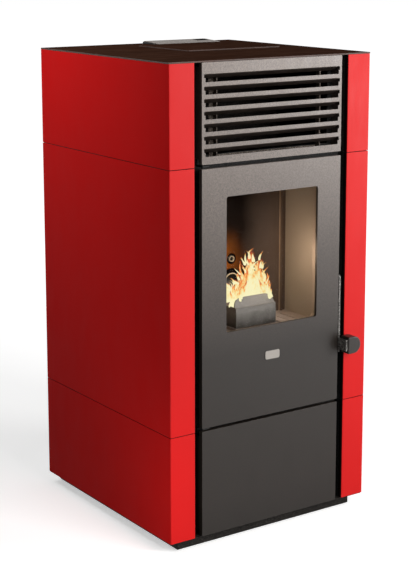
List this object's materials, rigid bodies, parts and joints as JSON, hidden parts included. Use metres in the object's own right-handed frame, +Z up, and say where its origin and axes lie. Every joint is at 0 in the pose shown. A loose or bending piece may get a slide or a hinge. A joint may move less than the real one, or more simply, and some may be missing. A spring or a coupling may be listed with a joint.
{
  "type": "pellet stove",
  "caption": "Free-standing pellet stove with enamelled side casing, glazed fire door on hinges, louvred air grille, hopper lid, fire box, pellet feed, smoke side and blower.",
  "frame": {"origin": "on the floor under the middle of the whole stove, rear pipe and handle included", "axes": "+Z up, -Y out of the front where the door is, +X towards the handle side, right when facing the door"},
  "size_m": [0.54, 0.609, 1.0736],
  "materials": {
    "red_enamel": "smooth satin enamel",
    "grey_enamel": "fine speckled satin enamel",
    "brown_enamel": "brushed satin enamel",
    "black_steel": "matt stove paint",
    "plinth_steel": "matt paint",
    "cast_iron": "matt, heat stained",
    "vermiculite": "rough refractory board",
    "galvanised": "zinc coated sheet",
    "bright_steel": "plain steel",
    "stove_glass": "clear heat resistant glass",
    "display": "black gloss",
    "seal_rope": "braided glass fibre",
    "black_plastic": "satin moulding",
    "console_grey": "satin light grey"
  },
  "bodies": {
    "stove": {"base_pan": "plinth_steel", "levelling_foot_front_left": "black_plastic", "levelling_foot_front_right": "black_plastic", "levelling_foot_rear_left": "black_plastic", "levelling_foot_rear_right": "black_plastic", "side_panel_left_lower": "red_enamel", "side_panel_right_lower": "red_enamel", "side_panel_left_middle": "red_enamel", "side_panel_right_middle": "red_enamel", "side_panel_left_upper": "red_enamel", "side_panel_right_upper": "red_enamel", "front_frame": "black_steel", "top_plate": "brown_enamel", "lid_hinge_pin": "bright_steel", "rear_panel": "galvanised", "air_grille": "grey_enamel", "louvre_stiffener": "galvanised", "service_panel": "grey_enamel", "hinge_bracket_upper": "black_steel", "hinge_bracket_lower": "black_steel", "latch_keeper": "bright_steel", "firebox_shell": "cast_iron", "firebox_liner_left": "vermiculite", "firebox_liner_right": "vermiculite", "firebox_liner_rear": "vermiculite", "hearth_plate": "cast_iron", "flame_baffle": "vermiculite", "ash_drawer": "galvanised", "igniter": "bright_steel", "gearmotor": "black_steel", "auger_tube": "galvanised", "hopper": "galvanised", "hopper_safety_grid": "bright_steel", "smoke_fan_housing": "cast_iron", "smoke_fan_motor": "black_steel", "smoke_duct": "galvanised", "flue_spigot": "black_steel", "air_intake_pipe": "galvanised", "blower_housing": "galvanised", "blower_motor": "black_steel", "console_housing": "black_plastic", "console_face": "console_grey", "console_display": "display", "control_board": "black_plastic", "mains_inlet": "black_plastic"},
    "door": {"door_front": "grey_enamel", "door_glass": "stove_glass", "door_frame": "cast_iron", "door_rope_seal": "seal_rope", "badge_plate": "bright_steel", "handle_pivot_pin": "bright_steel"},
    "handle": {"handle_lever": "black_steel", "handle_knob": "grey_enamel", "latch_hook": "bright_steel"},
    "lid": {"hopper_lid": "brown_enamel"},
    "pot": {"burn_pot": "cast_iron"},
    "auger": {"auger_screw": "bright_steel"},
    "impeller": {"smoke_impeller": "bright_steel"},
    "blower": {"blower_rotor": "bright_steel"},
    "rocker": {"switch_rocker": "black_plastic"}
  },
  "joints": [
    {"name": "door_hinge", "type": "hinge", "parent": "stove", "child": "door", "pos_m": [-0.178, -0.2605, 0.557], "axis": [0, 0, -1], "range_deg": [0, 110]},
    {"name": "handle_pull", "type": "hinge", "parent": "door", "child": "handle", "pos_m": [0.192, -0.2575, 0.55], "axis": [-1, 0, 0], "range_deg": [0, 30]},
    {"name": "lid_hinge", "type": "hinge", "parent": "stove", "child": "lid", "pos_m": [0.0695, 0.184, 1.064], "axis": [-1, 0, 0], "range_deg": [0, 80]},
    {"name": "pot_lift", "type": "slide", "parent": "stove", "child": "pot", "axis": [0, 0, 1], "range_m": [0, 0.07]},
    {"name": "auger_spin", "type": "hinge", "parent": "stove", "child": "auger", "pos_m": [0, 0.1095, 0.49], "axis": [0, -0.7071, 0.7071], "continuous": true},
    {"name": "impeller_spin", "type": "hinge", "parent": "stove", "child": "impeller", "pos_m": [-0.126, 0.1275, 0.17], "axis": [1, 0, 0], "continuous": true},
    {"name": "blower_spin", "type": "hinge", "parent": "stove", "child": "blower", "pos_m": [0, -0.1205, 0.134], "axis": [1, 0, 0], "continuous": true},
    {"name": "switch_rock", "type": "hinge", "parent": "stove", "child": "rocker", "pos_m": [0.19, 0.2707, 0.089], "axis": [1, 0, 0], "range_deg": [0, 16]}
  ]
}
